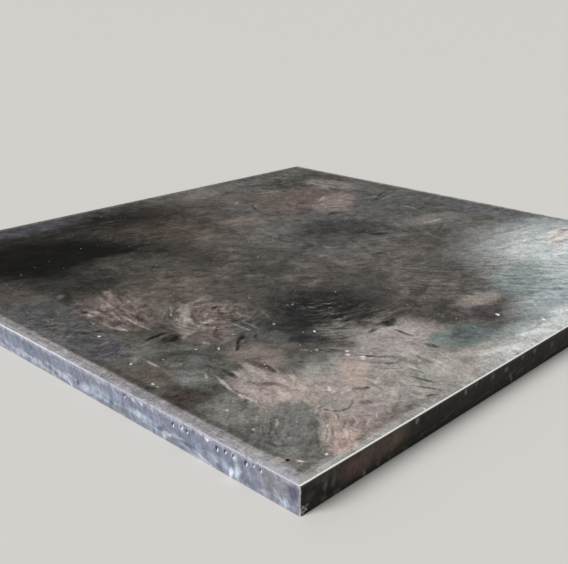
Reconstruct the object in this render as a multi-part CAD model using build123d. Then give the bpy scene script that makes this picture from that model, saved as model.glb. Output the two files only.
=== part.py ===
from build123d import *
import math
import os
import random

# A thick hot-rolled steel plate, flame-cut to size on all four sides and lying flat.
# X runs along the longer sides, Y along the shorter ones, Z up.
# The origin is the middle of the underside. All sizes are in millimetres.

# Overall size
plate_length = 1700.0
plate_width = 1600.0
plate_thickness = 55.0

# Shoulder: the top surface falls away gently towards every edge
shoulder_width = 28.0
shoulder_drop = 1.2

# Upper arris, melted round by the preheat flame
upper_arris_radius = 2.2

# Cut face: set back a little at the top and dished between the arris and the lip
kerf_set_back = 1.0
cut_face_hollow = 0.7

# Lip: the band along the bottom of the cut that stands proud
lip_height = 11.0
lip_proud = 0.8
lip_slope_height = 2.5
lower_arris_radius = 1.0

# Worn vertical corners
corner_radius = 4.0

# Scoops: long shallow hollows that the lagging jet left along the top of the lip
scoop_pitch = 112.0
scoop_pitch_scatter = 22.0
scoop_end_clearance = 60.0
scoop_depth = 0.7
scoop_footprint_length = 92.0
scoop_footprint_height = 13.0
scoop_lag_angle = 7.0
scoop_scatter_seed = 11

# Gouges: short bites in the upper half of the left cut face, in an uneven row.
# Each place is its distance from the near corner along that face.
gouge_places = (85.0, 101.0, 119.0, 148.0, 168.0, 189.0, 266.0, 281.0, 305.0, 447.0)
gouge_depth_below_top = 14.5
gouge_row_wander = 2.0
gouge_depth = 1.5
gouge_footprint_length = 12.0
gouge_footprint_width = 4.6
gouge_lag_angle = 18.0

# Punch mark in the top surface by the near corner
punch_from_left_side = 39.0
punch_from_near_side = 64.0
punch_mark_radius = 2.8
punch_mark_depth = 2.2

# How far a cutting or trimming shape runs past the plate
overrun = 10.0


def cut_edge(half_span):
    """Draw one cut edge of the cross section, from the underside round to the top surface."""
    top_of_arris = plate_thickness - shoulder_drop
    face_top = (half_span - kerf_set_back, top_of_arris - upper_arris_radius)
    arris_end = (face_top[0] - upper_arris_radius, top_of_arris)
    face_bottom = (half_span - lip_proud, lip_height + lip_slope_height)
    face_middle = (
        (face_top[0] + face_bottom[0]) / 2 - cut_face_hollow,
        (face_top[1] + face_bottom[1]) / 2,
    )
    shoulder_start = (half_span - shoulder_width, plate_thickness)
    Line((0, 0), (half_span - lower_arris_radius, 0))
    TangentArc(
        (half_span - lower_arris_radius, 0),
        (half_span, lower_arris_radius),
        tangent=(1, 0),
    )
    Line((half_span, lower_arris_radius), (half_span, lip_height))
    Line((half_span, lip_height), face_bottom)
    ThreePointArc(face_bottom, face_middle, face_top)
    TangentArc(face_top, arris_end, tangent=(0, 1))
    TangentArc(shoulder_start, arris_end, tangent=(1, 0))
    Line(shoulder_start, (0, plate_thickness))


def long_bar(section_plane, span, length):
    """Extrude the full cross section of one span along the other direction."""
    with BuildSketch() as section:
        with BuildLine():
            cut_edge(span / 2)
            mirror(about=Plane.YZ)
        make_face()
    return extrude(section_plane * section.sketch, amount=length / 2 + overrun, both=True)


def cut_slab():
    """Cross the two bars, so that their edges meet in mitres, and round the four corners."""
    across = long_bar(Plane.XZ, plate_length, plate_width)
    along = long_bar(Plane.YZ, plate_width, plate_length)
    trim = extrude(
        Plane.XY.offset(-overrun) * RectangleRounded(plate_length, plate_width, corner_radius),
        amount=plate_thickness + 2 * overrun,
    )
    return across & along & trim


def spindle(footprint_length, footprint_width, depth):
    """Make a spindle along X that leaves the wanted footprint when it bites to this depth."""
    half_width = footprint_width / 2
    radius = (half_width**2 + depth**2) / (2 * depth)
    half_length = footprint_length / 2 / math.sqrt(depth / radius)
    with BuildPart() as tool:
        with BuildSketch():
            with BuildLine():
                ThreePointArc((-half_length, 0), (0, radius), (half_length, 0))
                Line((half_length, 0), (-half_length, 0))
            make_face()
        revolve(axis=Axis.X)
    return tool.part, radius


def on_face(tool, radius, depth, face_plane, along, height, turn):
    """Place a spindle beside an upright face, biting to its depth and turned in that plane."""
    place = face_plane * Location((along, height, radius - depth)) * Rotation(0, 0, turn)
    return place * tool


def side_planes():
    """Give each upright side's plane, with x along it, y up and z outward, and its length."""
    half_length = plate_length / 2
    half_width = plate_width / 2
    return {
        "left": (Plane((-half_length, 0, 0), x_dir=(0, -1, 0), z_dir=(-1, 0, 0)), plate_width),
        "near": (Plane((0, -half_width, 0), x_dir=(1, 0, 0), z_dir=(0, -1, 0)), plate_length),
        "right": (Plane((half_length, 0, 0), x_dir=(0, 1, 0), z_dir=(1, 0, 0)), plate_width),
        "far": (Plane((0, half_width, 0), x_dir=(-1, 0, 0), z_dir=(0, 1, 0)), plate_length),
    }


def scoops():
    """Space the scoops unevenly along each side's lip."""
    tool, radius = spindle(scoop_footprint_length, scoop_footprint_height, scoop_depth)
    scatter = random.Random(scoop_scatter_seed)
    cutters = []
    for face_plane, side_length in side_planes().values():
        usable = side_length - 2 * scoop_end_clearance
        count = max(1, math.floor(usable / scoop_pitch))
        first = -(count - 1) / 2 * scoop_pitch
        for index in range(count):
            along = first + index * scoop_pitch
            along += scatter.uniform(-scoop_pitch_scatter, scoop_pitch_scatter) / 2
            height = lip_height + lip_slope_height
            cutters.append(
                on_face(tool, radius, scoop_depth, face_plane, along, height, -scoop_lag_angle)
            )
    return cutters


def gouges():
    """Place the row of short gouges on the left cut face, leaning with the drag of the jet."""
    face_plane, side_length = side_planes()["left"]
    face_plane = face_plane.offset(-kerf_set_back - cut_face_hollow / 2)
    tool, radius = spindle(gouge_footprint_length, gouge_footprint_width, gouge_depth)
    cutters = []
    for index, place in enumerate(gouge_places):
        wander = gouge_row_wander * math.sin(2.4 * index)
        height = plate_thickness - gouge_depth_below_top + wander
        along = side_length / 2 - place
        turn = -90 + gouge_lag_angle
        cutters.append(on_face(tool, radius, gouge_depth, face_plane, along, height, turn))
    return cutters


def punch_mark():
    """Make the ball that leaves the round punch mark."""
    centre = (
        punch_from_left_side - plate_length / 2,
        punch_from_near_side - plate_width / 2,
        plate_thickness + punch_mark_radius - punch_mark_depth,
    )
    return Pos(*centre) * Sphere(punch_mark_radius)


def steel_plate():
    """Take the scoops, gouges and punch mark out of the slab."""
    return cut_slab() - (scoops() + gouges() + [punch_mark()])


os.makedirs("parts", exist_ok=True)
export_step(steel_plate(), "parts/steel_plate.step")
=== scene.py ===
import math
import random

import bmesh
import bpy
from mathutils import Matrix, Vector, noise


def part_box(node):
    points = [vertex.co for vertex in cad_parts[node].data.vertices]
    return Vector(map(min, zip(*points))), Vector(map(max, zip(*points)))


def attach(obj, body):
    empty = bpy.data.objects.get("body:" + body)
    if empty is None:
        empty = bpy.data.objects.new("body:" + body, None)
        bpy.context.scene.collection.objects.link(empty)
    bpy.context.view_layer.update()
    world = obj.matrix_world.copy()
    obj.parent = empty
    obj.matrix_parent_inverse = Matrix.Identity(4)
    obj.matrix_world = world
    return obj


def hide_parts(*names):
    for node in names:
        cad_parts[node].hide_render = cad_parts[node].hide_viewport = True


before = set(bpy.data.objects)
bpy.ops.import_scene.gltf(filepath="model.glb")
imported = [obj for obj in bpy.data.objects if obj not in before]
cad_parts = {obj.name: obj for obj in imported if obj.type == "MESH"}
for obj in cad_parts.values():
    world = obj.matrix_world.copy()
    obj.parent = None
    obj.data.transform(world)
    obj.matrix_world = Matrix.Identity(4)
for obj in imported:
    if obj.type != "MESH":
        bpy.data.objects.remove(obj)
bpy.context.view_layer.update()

bl_info = {
    "name": "Flame-Cut Steel Plate",
    "version": (1, 0, 0),
    "blender": (4, 5, 0),
    "location": "3D View > Sidebar > Steel Plate",
    "description": "Models a thick hot-rolled steel plate with flame-cut sides, and its stage",
    "category": "Object",
}

MM = 0.001
NODE = "steel_plate"
node_low, node_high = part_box(NODE)

# The frame is 568 pixels wide; the focal length in pixels is turned to one for this sensor.
FRAME_WIDTH = 568
SENSOR_WIDTH = 36.0

# The four sides as seen from above. Each has the direction that it faces, and the direction in
# which its places are measured, in millimetres from the corner where that direction starts.
SIDES = {
    "near": (Vector((0, -1)), Vector((1, 0))),
    "right": (Vector((1, 0)), Vector((0, 1))),
    "far": (Vector((0, 1)), Vector((1, 0))),
    "left": (Vector((-1, 0)), Vector((0, 1))),
}

# Height of the lip's upper edge along the left cut: distance from the near corner, height.
# The cut slipped again and again, so the edge climbs slowly and falls back. Past the last place,
# and along the other sides, the climbs and falls are scattered.
LEFT_LIP = (
    (0, 9), (26, 3), (40, 9), (74, 9), (104, 14), (128, 13), (151, 6), (209, 12), (250, 13),
    (274, 9), (343, 16), (400, 20), (461, 17), (488, 5), (592, 15), (613, 4), (685, 12),
    (740, 3), (841, 15), (872, 6),
)

# Gouges in the left cut: distance from the near corner, depth below the top surface, size.
GOUGES = (
    (85, 12, 0.8), (101, 10, 0.7), (119, 14, 1.1), (148, 13, 0.9), (168, 13, 0.9),
    (189, 16, 1.1), (213, 7, 0.5), (266, 15, 0.8), (281, 12, 0.8), (305, 16, 1.0),
    (447, 12, 0.9),
)

# They lean with the drag of the jet.
GOUGE_LEAN = math.radians(-18)

# Slag beads stuck beside the near corner: side, distance from the corner, height, radius.
BEADS = (
    ("near", 6, 8, 2.6), ("near", 10, 14, 1.9), ("near", 13, 5, 2.2), ("near", 18, 10, 1.7),
    ("near", 27, 4, 1.6), ("left", 6, 5, 2.2), ("left", 9, 13, 1.8), ("left", 14, 8, 2.0),
    ("left", 22, 5, 1.6), ("left", 35, 6, 1.8),
)

# The punch mark in the top: distance from the left and the near side, radius and depth.
PUNCH_FROM_LEFT, PUNCH_FROM_NEAR = 39, 64
PUNCH_RADIUS, PUNCH_DEPTH = 2.75, 2.0

# Rings of the edge: insets on the sloping shoulder and on the underside, and heights on the cut
# face, which are closest where the gouges and the lip need them.
SHOULDER_INSETS = (22.0, 16.0, 10.0, 6.0)
FACE_HEIGHTS = (
    49.6, 47.6, 46.0, 44.4, 42.8, 41.2, 39.6, 38.0, 36.2, 34.0, 31.0, 28.0, 25.0, 22.4, 20.0, 17.8,
    16.0, 14.4, 12.8, 11.2, 9.6, 8.0, 6.4, 4.8, 2.8,
)
UNDERSIDE_INSETS = (5.0, 14.0)
ARRIS_STEPS = 4

# Cells of the top's grid along X and Y, each about 16 mm long. How far the closest part of the
# mesh runs along the left and near sides, in millimetres from the corner where they meet.
GRID_CELLS = (102, 96)
DENSE_LEFT, DENSE_NEAR = 465, 300

# Radius that the rings keep at the corners where the upright corners' own radius has run out.
LEAST_CORNER = 0.8

# Height above the lip that is given to points which are nowhere near it.
FAR_ABOVE_LIP = 40.0

# Rubbed bands of the top: side, where the band ends and where it is full in millimetres from
# the edge, strength and colour.
BANDS = (
    ("far", 30, 18, 0.5, "#77767a"), ("right", 30, 18, 0.7, "#8f908f"),
    ("near", 30, 12, 0.8, "#aaa7a1"), ("left", 33, 24, 0.95, "#939091"),
    ("left", 16, 4, 0.7, "#9f9ea6"), ("left", 5, 3, 0.9, "#b7b9c6"),
    ("right", 12, 5, 0.8, "#c4c4c3"), ("far", 9, 4, 0.6, "#a9a9aa"),
)

# Clean lines along the very edge, in the same order. The near one, nearly white at full
# strength, is a painted highlight as well as a clean line.
EDGE_LINES_AND_HIGHLIGHT = (
    ("near", 4.8, 3.5, 1.0, "#faf8f4"), ("far", 5, 3.2, 0.5, "#c9c9c8"),
    ("right", 5, 3.2, 0.5, "#d4d4d2"),
)

# Stains, painted shade and painted sheen of the top, laid one over another: middle, half sizes,
# turn in degrees, softness of the border, strength and colour. Places are in millimetres from the
# plate's middle.
# First the darker areas of scale, some under painted shade; blotches cross them.
SCALE_SHADE_AND_SHEEN = (
    (450, 150, 460, 560, 0, 0.6, 0.75, "#5d5b59"), (640, 120, 130, 190, 0, 0.5, 0.8, "#50504c"),
    (430, 420, 190, 130, 25, 0.5, 0.8, "#64574f"), (260, 60, 150, 110, -30, 0.5, 0.85, "#393734"),
    (620, 620, 170, 110, -20, 0.5, 0.85, "#45433e"), (180, 640, 150, 100, 15, 0.5, 0.8, "#5d5752"),
    (330, -200, 150, 90, 20, 0.5, 0.8, "#524d48"), (760, -150, 46, 170, 0, 0.4, 0.8, "#5b5c5e"),
    # The areas at (-90, 500), (-515, 425), (-200, 650) and (-250, 170) are darker scale with
    # painted shade on it, where a truck and its tyres shaded the plate; the near-black one at
    # (-515, 425) is mostly painted shadow and dark reflection.
    (500, 715, 200, 36, 0, 0.5, 0.6, "#68645f"), (-90, 500, 210, 190, -45, 0.6, 0.85, "#4d423a"),
    (-515, 425, 320, 240, -40, 0.5, 1.0, "#141310"), (-560, 190, 110, 110, 0, 0.6, 0.9, "#302f2b"),
    (-200, 650, 280, 130, -10, 0.7, 0.9, "#1f1d1b"), (-430, 735, 190, 50, 0, 0.5, 0.6, "#4b4b50"),
    (-250, 170, 90, 110, 0, 0.6, 0.7, "#38342e"), (-390, 225, 130, 90, -30, 0.5, 0.8, "#4a4741"),
    (-450, 30, 120, 90, 0, 0.5, 0.85, "#60564f"), (-755, 0, 62, 260, 0, 0.4, 0.9, "#555453"),
    (-765, 90, 46, 70, 0, 0.6, 0.7, "#494948"), (-775, -170, 36, 70, 0, 0.4, 0.6, "#504d53"),
    (-745, 260, 50, 60, 0, 0.4, 0.8, "#4e4641"), (-625, -20, 75, 110, 0, 0.35, 0.9, "#6c605b"),
    (-520, -190, 110, 60, 35, 0.4, 0.8, "#776a63"), (-535, -280, 50, 65, 0, 0.4, 0.85, "#70645e"),
    (-690, -290, 80, 90, 0, 0.5, 0.85, "#565550"), (-700, -400, 70, 55, 0, 0.5, 0.85, "#6a6a65"),
    (-775, -345, 42, 65, 0, 0.4, 0.8, "#605750"), (-790, -490, 34, 75, 0, 0.4, 0.95, "#473e37"),
    (-765, -640, 82, 150, 0, 0.35, 0.9, "#71706b"), (-455, -290, 60, 60, 0, 0.5, 0.9, "#4b4b47"),
    (-470, -370, 100, 45, -30, 0.5, 0.9, "#50504c"),
    (-412, -362, 48, 62, 20, 0.6, 0.85, "#2e302c"), (-440, -435, 36, 22, -45, 0.6, 0.8, "#2a2a2a"),
    # The area at (-270, -330) is a painted shadow where a tyre stood.
    (-270, -330, 130, 110, 0, 0.5, 0.9, "#272727"), (-50, -605, 45, 88, -6, 0.3, 0.95, "#4c4646"),
    # The teal grey at (240, -590) is part of the painted sheen that the paler areas carry.
    (100, -565, 80, 60, 0, 0.4, 0.85, "#64635e"), (240, -590, 150, 90, 20, 0.4, 0.9, "#727d7a"),
)

# Then the paler areas: rust bloom, scale that is rubbed or washed nearly clean, and a painted
# sheen toward the right of the near side.
BLOOM_AND_SHEEN = (
    (520, 300, 110, 60, 30, 0.3, 0.85, "#85776e"), (420, 250, 60, 70, 0, 0.3, 0.8, "#7c716a"),
    (690, 480, 60, 110, 10, 0.35, 0.8, "#7f766f"), (120, 330, 90, 50, -25, 0.4, 0.7, "#726760"),
    (560, -80, 120, 50, -15, 0.4, 0.7, "#7b7670"), (250, 700, 90, 40, 10, 0.4, 0.7, "#77716b"),
    (-574, -425, 52, 75, 0, 0.35, 0.95, "#7a6f67"), (-548, -164, 92, 15, 52, 0.4, 0.85, "#8a807a"),
    (-350, -462, 48, 36, -48, 0.5, 0.85, "#7b7872"),
    (-610, -650, 120, 120, 0, 0.3, 1.0, "#998d86"), (-470, -650, 150, 110, 0, 0.3, 1.0, "#9b918b"),
    (-300, -590, 120, 100, 0, 0.3, 1.0, "#98908b"), (-300, -740, 250, 48, 0, 0.3, 1.0, "#9b958e"),
    (-520, -540, 62, 32, 10, 0.5, 0.7, "#8a8983"), (-508, -500, 44, 24, -40, 0.6, 0.8, "#66655f"),
    (-648, -543, 66, 76, 0, 0.2, 1.0, "#a3968f"), (-648, -478, 54, 40, 0, 0.4, 0.8, "#958a84"),
    (-700, -632, 50, 38, -12, 0.25, 1.0, "#74736e"), (-712, -682, 34, 34, 0, 0.4, 0.9, "#6e6d69"),
    (-685, -728, 72, 28, 45, 0.4, 0.85, "#a5968c"), (-700, -772, 42, 18, 10, 0.5, 0.8, "#b19a8f"),
    (-480, -605, 62, 22, 33, 0.5, 0.8, "#ad9b91"), (-600, -735, 60, 26, 10, 0.5, 0.7, "#918483"),
    (-618, -668, 30, 26, 0, 0.5, 0.8, "#8b8680"), (-385, -680, 40, 60, 0, 0.4, 0.7, "#8f8e86"),
    (-350, -722, 60, 20, 20, 0.5, 0.7, "#a39f98"), (-190, -665, 92, 52, -10, 0.35, 0.9, "#626c69"),
    (-230, -632, 30, 20, 0, 0.5, 0.7, "#78837f"), (-180, -655, 42, 22, 0, 0.5, 0.7, "#515957"),
    (-80, -730, 80, 30, 0, 0.5, 0.8, "#88928d"), (22, -568, 62, 32, -6, 0.5, 0.85, "#938780"),
    # The pale blue-grey, teal and near-white areas from here on, right of x = 0, are a painted
    # reflection: the sheen of bright surroundings over a slight teal tint of the scale. The dark
    # blob at (718, -432) is a stain.
    (200, -700, 230, 90, 14, 0.5, 1.0, "#9ba2a4"), (60, -770, 300, 32, 0, 0.5, 0.95, "#c8cac7"),
    (-130, -788, 150, 12, 0, 0.6, 0.8, "#c3c4c0"), (330, -560, 60, 40, -40, 0.4, 0.6, "#66716f"),
    (600, -560, 310, 240, 0, 0.6, 1.0, "#bbc1bf"), (250, -560, 130, 50, 25, 0.5, 0.8, "#808b87"),
    (655, -455, 110, 30, 22, 0.5, 0.85, "#cfc3be"), (480, -425, 110, 26, 22, 0.5, 0.7, "#c3c6c2"),
    (772, -352, 42, 60, 0, 0.4, 0.6, "#97a2a2"), (718, -432, 17, 12, -20, 0.6, 0.75, "#646764"),
    (620, -700, 190, 60, -8, 0.7, 0.65, "#989894"), (765, -600, 60, 90, 15, 0.6, 0.6, "#8f867e"),
    (400, -655, 90, 36, 30, 0.6, 0.5, "#a1a6a4"),
)

# Streaks wiped round a middle: that middle, the area's middle, its half sizes and turn, the
# streaks' spacing and length, and their contrast. The first covers the whole top.
WIPES = (
    ((900, 1300), (-200, -200), (3000, 3000), 0, 24, 90, 0.16),
    ((1260, 460), (250, -580), (420, 190), -35, 14, 70, 0.24),
    ((-1500, 200), (250, 350), (420, 330), 20, 26, 90, 0.20),
    ((-100, 1500), (-200, 480), (330, 230), -20, 20, 90, 0.24),
    ((394, 864), (-755, -60), (70, 280), 0, 15, 60, 0.26),
    ((-203, -197), (-330, -380), (260, 130), -45, 14, 60, 0.5),
    ((-1400, 70), (-690, -640), (125, 125), 0, 9, 60, 0.3),
    ((-594, -659), (-430, -660), (170, 120), 0, 18, 60, 0.18),
    ((92, -747), (-640, -500), (70, 110), 12, 17, 60, 0.20),
    ((260, -180), (-625, -10), (90, 130), 0, 13, 60, 0.40),
    ((-455, -200), (-500, -225), (135, 120), -45, 16, 45, 0.36),
    ((700, 900), (480, 300), (260, 200), 20, 16, 60, 0.36),
    ((-100, 300), (640, 560), (230, 220), 0, 18, 70, 0.32),
)

# Single marks on the top: dark ones, then pale ones.
MARKS = (
    (-812, -600, 7, 95, 0, 0.8, 0.8, "#4b4641"), (-811, -340, 7, 150, 0, 0.8, 0.8, "#3c3936"),
    (-808, -20, 8, 150, 0, 0.8, 0.6, "#646465"), (-836, -720, 14, 80, 0, 0.5, 0.8, "#a8a5a7"),
    (-786, -655, 30, 34, 30, 0.8, 0.6, "#5b5553"), (-775, -560, 26, 40, 0, 0.8, 0.5, "#7d7b75"),
    (-735, -640, 30, 12, 45, 0.8, 0.6, "#575752"), (-700, -690, 14, 8, 30, 0.8, 0.8, "#5f5d59"),
    (-795, -682, 16, 3, 88, 0.5, 0.8, "#4d4a47"), (-784, -703, 11, 4, -30, 0.6, 0.8, "#4a4744"),
    (-764, -714, 9, 5, -20, 0.7, 0.8, "#504e4a"), (-791, -634, 4, 3, 40, 0.4, 0.9, "#2f2c2a"),
    (-765, -655, 24, 4, 48, 0.7, 0.7, "#54524e"), (-676, -775, 14, 6, 20, 0.7, 0.8, "#665a54"),
    (-579, -770, 15, 3, 6, 0.6, 0.8, "#625c57"), (-573, -704, 11, 9, -20, 0.5, 0.85, "#6e5f59"),
    (-645, -528, 20, 9, -45, 0.5, 0.85, "#6d5d58"), (-661, -508, 26, 3, 88, 0.5, 0.9, "#685b56"),
    (-665, -437, 27, 6, 82, 0.5, 0.95, "#3f3a36"), (-625, -427, 16, 15, 20, 0.6, 0.85, "#59524e"),
    (-598, -455, 44, 9, 88, 0.5, 0.95, "#574e47"), (-594, -480, 24, 6, 80, 0.5, 0.9, "#483f39"),
    (-587, -427, 22, 5, -10, 0.5, 0.85, "#584f49"), (-538, -661, 15, 7, -42, 0.5, 0.9, "#6f6159"),
    (-528, -667, 5, 4, 0, 0.5, 0.9, "#50453c"), (-488, -524, 14, 14, 0, 0.7, 0.9, "#5e5d58"),
    (-455, -544, 20, 2, 8, 0.5, 0.8, "#6c6761"), (-399, -532, 9, 4, 10, 0.6, 0.8, "#625d57"),
    (-411, -590, 30, 4.4, -54, 0.5, 1.0, "#433d38"),
    (-429, -617, 14, 2.6, -52, 0.5, 0.9, "#645f58"),
    (-412, -634, 13, 3.6, -38, 0.5, 0.95, "#5b564f"), (-393, -640, 13, 3, 5, 0.5, 0.9, "#5f5a53"),
    (-428, -653, 20, 2, -43, 0.5, 0.9, "#6b655f"),
    (-403, -690, 17, 2.8, -86, 0.5, 0.95, "#5f5751"),
    (-427, -722, 26, 3.8, -78, 0.5, 0.95, "#574e48"),
    (-449, -752, 27, 3.4, -68, 0.5, 0.95, "#5a4f48"),
    (-467, -774, 12, 3.6, -32, 0.5, 1.0, "#4a3e37"),
    (-361, -677, 20, 11, -45, 0.8, 0.7, "#837d76"), (-505, -753, 10, 24, 0, 0.8, 0.7, "#837a7e"),
    (-553, -768, 18, 4, 0, 0.8, 0.7, "#7e746f"), (-293, -739, 12, 26, 0, 0.8, 0.7, "#797773"),
    (-283, -646, 8, 15, 0, 0.6, 0.9, "#454743"), (-322, -630, 8, 4, 60, 0.6, 0.8, "#716b66"),
    (-330, -756, 26, 12, 0, 0.8, 0.6, "#a0958a"), (-545, -338, 22, 4.5, 35, 0.5, 1.0, "#26211e"),
    (-526, -331, 13, 5, 35, 0.5, 1.0, "#201c19"), (-572, -363, 18, 4, 42, 0.5, 0.95, "#2a2522"),
    (-503, -347, 12, 4, 30, 0.5, 0.95, "#262422"), (-540, -353, 14, 2.4, 12, 0.6, 0.9, "#393632"),
    (-560, -290, 24, 8, 35, 0.8, 0.7, "#493f3a"), (-478, -285, 34, 4.5, 88, 0.6, 0.85, "#474640"),
    (-434, -302, 12, 16, 0, 0.8, 0.8, "#3f403a"), (-405, -362, 52, 9, -50, 0.6, 0.85, "#272925"),
    (-425, -378, 44, 6, -50, 0.6, 0.8, "#2d2f2b"), (-441, -424, 18, 13, -45, 0.7, 0.9, "#292a2a"),
    # The dark marks at (-348, -325), (-318, -381) and (-344, -409) deepen the painted tyre shadow.
    (-348, -325, 14, 16, 0, 0.8, 0.8, "#282b2a"), (-318, -381, 10, 7, 0, 0.6, 0.85, "#2a2c2c"),
    (-344, -409, 14, 11, 0, 0.7, 0.85, "#3a3a36"), (-357, -436, 24, 3, -48, 0.6, 0.85, "#403d39"),
    (-343, -428, 22, 2.6, -48, 0.6, 0.8, "#494641"),
    (-511, -423, 28, 2.2, -51, 0.6, 0.85, "#554e48"),
    (-528, -510, 20, 3.4, -42, 0.6, 0.9, "#55524c"), (-530, -473, 10, 4, 70, 0.7, 0.9, "#4f4c45"),
    (-513, -492, 9, 7, 0, 0.7, 0.9, "#4c4c45"), (-529, -503, 5, 4, 0, 0.6, 0.9, "#45433e"),
    (-420, -476, 38, 22, -45, 0.8, 0.8, "#514f4b"), (-305, -508, 14, 6, 0, 0.6, 0.95, "#3a3733"),
    (-268, -560, 24, 4, 86, 0.5, 0.95, "#3f3b37"), (-236, -500, 26, 14, 10, 0.7, 0.9, "#22201e"),
    (-656, -197, 30, 6, 4, 0.4, 1.0, "#1c1814"), (-637, -227, 21, 18, 0, 0.4, 1.0, "#1d1814"),
    (-640, -221, 8, 6, 0, 0.8, 0.6, "#443a33"), (-683, 28, 10, 8, 45, 0.7, 0.9, "#2c2723"),
    (-690, -8, 12, 5, 60, 0.8, 0.7, "#454139"), (-668, -75, 10, 14, 0, 0.7, 0.9, "#473c39"),
    (-642, -3, 5, 6, 0, 0.7, 0.8, "#47403c"), (-615, -56, 5, 6, 0, 0.7, 0.8, "#4a413e"),
    (-564, -35, 13, 9, 20, 0.7, 0.85, "#4a433f"), (-589, -98, 11, 8, 20, 0.7, 0.9, "#463c38"),
    (-645, -150, 8, 14, 0, 0.8, 0.8, "#4f4541"), (-523, -161, 32, 4, 45, 0.7, 0.8, "#46423e"),
    (-540, -262, 30, 3.4, 40, 0.7, 0.85, "#3d3733"), (-470, 40, 100, 7, 0, 0.8, 0.6, "#4d4541"),
    (-792, -45, 26, 2.6, 0, 0.7, 0.85, "#3d3e41"), (-755, -42, 34, 2.4, 3, 0.7, 0.7, "#414245"),
    (-793, -72, 18, 2.4, 0, 0.7, 0.7, "#434447"), (-763, -161, 24, 3, -6, 0.7, 0.8, "#403e44"),
    (-780, -205, 22, 2.4, 0, 0.7, 0.7, "#444247"), (-655, 150, 14, 55, -30, 0.6, 0.9, "#282823"),
    (-700, -690, 4, 3, 0, 0.5, 0.6, "#46443f"), (470, 330, 40, 5, 35, 0.5, 0.9, "#3c352f"),
    (560, 260, 30, 4, -40, 0.5, 0.9, "#3a342f"), (380, 200, 26, 14, 10, 0.6, 0.85, "#2f2c29"),
    (240, 420, 44, 4, 60, 0.6, 0.85, "#33302c"), (640, 420, 24, 9, 80, 0.5, 0.9, "#35312d"),
    (700, 250, 34, 4, 20, 0.6, 0.85, "#2f2e2c"), (150, 560, 50, 5, -15, 0.6, 0.85, "#36322e"),
    (330, 650, 24, 14, 0, 0.6, 0.85, "#34312d"), (560, 640, 60, 4, 10, 0.6, 0.8, "#2b2a27"),
    (300, -60, 30, 12, -30, 0.6, 0.85, "#262523"), (480, -150, 36, 4, 20, 0.6, 0.85, "#322f2c"),
    (690, -60, 14, 18, 0, 0.6, 0.85, "#383837"),
    # Pale ones.
    (-712, -532, 22, 3.6, -88, 0.5, 0.95, "#b8aba1"),
    (-707, -562, 12, 3.4, -66, 0.5, 0.95, "#b5a89e"),
    (-694, -579, 13, 3, -42, 0.5, 0.9, "#aca096"), (-702, -469, 31, 4.2, 73, 0.5, 0.85, "#aba59d"),
    (-704, -418, 12, 3, 55, 0.5, 0.85, "#a4a19a"), (-655, -470, 30, 6, 86, 0.5, 0.85, "#a6a19a"),
    (-619, -465, 34, 9, 84, 0.6, 0.85, "#a9a29b"), (-688, -505, 12, 30, 0, 0.8, 0.7, "#a3958f"),
    (-742, -298, 26, 4, 89, 0.5, 0.95, "#95918a"), (-747, -358, 16, 4, 86, 0.7, 0.7, "#7b7973"),
    (-735, -404, 18, 26, 0, 0.8, 0.7, "#7f807b"), (-740, -642, 14, 2.6, 46, 0.6, 0.9, "#99948e"),
    (-754, -607, 9, 3, 45, 0.7, 0.8, "#908b86"), (-819, -724, 5, 7, 20, 0.6, 0.9, "#b9b0ad"),
    (-684, -711, 5, 3, 40, 0.6, 0.95, "#c9b5aa"), (-585, -635, 5, 4, 0, 0.6, 0.9, "#c4bbb4"),
    (-580, -621, 8, 2.6, 46, 0.5, 0.95, "#cdc6c0"), (-648, -663, 5, 2.6, 30, 0.5, 0.9, "#bfb3a5"),
    (-597, -746, 8, 2.4, 42, 0.6, 0.8, "#b8aea8"), (-630, -752, 10, 3, 25, 0.7, 0.8, "#b3a89f"),
    (-490, -663, 17, 4, 22, 0.7, 0.85, "#b3ada0"), (-438, -549, 5, 5, 60, 0.5, 1.0, "#d2cdc9"),
    (-427, -538, 5, 3, 30, 0.5, 1.0, "#cfcac6"), (-430, -580, 9, 5, 30, 0.5, 1.0, "#d3cac8"),
    (-402, -578, 7, 3, 45, 0.6, 0.9, "#bdb6b2"), (-393, -597, 12, 8, -50, 0.8, 0.8, "#aea8a4"),
    (-318, -563, 5, 4, 0, 0.6, 0.9, "#bcb4ae"), (-377, -650, 4, 3, 0, 0.6, 0.9, "#bab4ae"),
    (-362, -669, 6, 3, 30, 0.6, 0.9, "#b6b0aa"), (-482, -469, 11, 3, -45, 0.6, 0.85, "#8f8f89"),
    (-431, -511, 30, 6, -45, 0.8, 0.8, "#7f7a72"), (-332, -434, 10, 9, 0, 0.8, 0.8, "#6d6e68"),
    (-491, -288, 30, 3, 88, 0.6, 0.9, "#837e76"), (-468, -294, 22, 3.4, 84, 0.6, 0.85, "#7c7c75"),
    (-404, -281, 18, 3.4, 68, 0.7, 0.7, "#66665f"), (-573, -290, 30, 3, 84, 0.6, 0.8, "#857a73"),
    (-601, -298, 7, 9, 0, 0.8, 0.85, "#8a8781"), (-557, -318, 12, 8, 20, 0.8, 0.7, "#837a74"),
    (-576, 98, 22, 9, 65, 0.5, 0.85, "#7e766f"), (-690, -62, 24, 3, 88, 0.6, 0.85, "#7a706b"),
    (-684, -105, 21, 6, -72, 0.45, 1.0, "#a29a95"), (-703, -42, 18, 2.6, 82, 0.6, 0.8, "#79716d"),
    (-637, -88, 66, 3.4, 89, 0.5, 1.0, "#9f938c"), (-606, -35, 30, 4.5, 87, 0.6, 0.85, "#81776f"),
    (-570, 16, 8, 6, 0, 0.6, 0.9, "#8c8681"), (-553, 9, 5, 4, 40, 0.6, 0.9, "#8f8983"),
    (-623, 45, 40, 5, 60, 0.7, 0.8, "#82766f"), (-593, 52, 60, 6, 58, 0.6, 0.85, "#85786f"),
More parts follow.
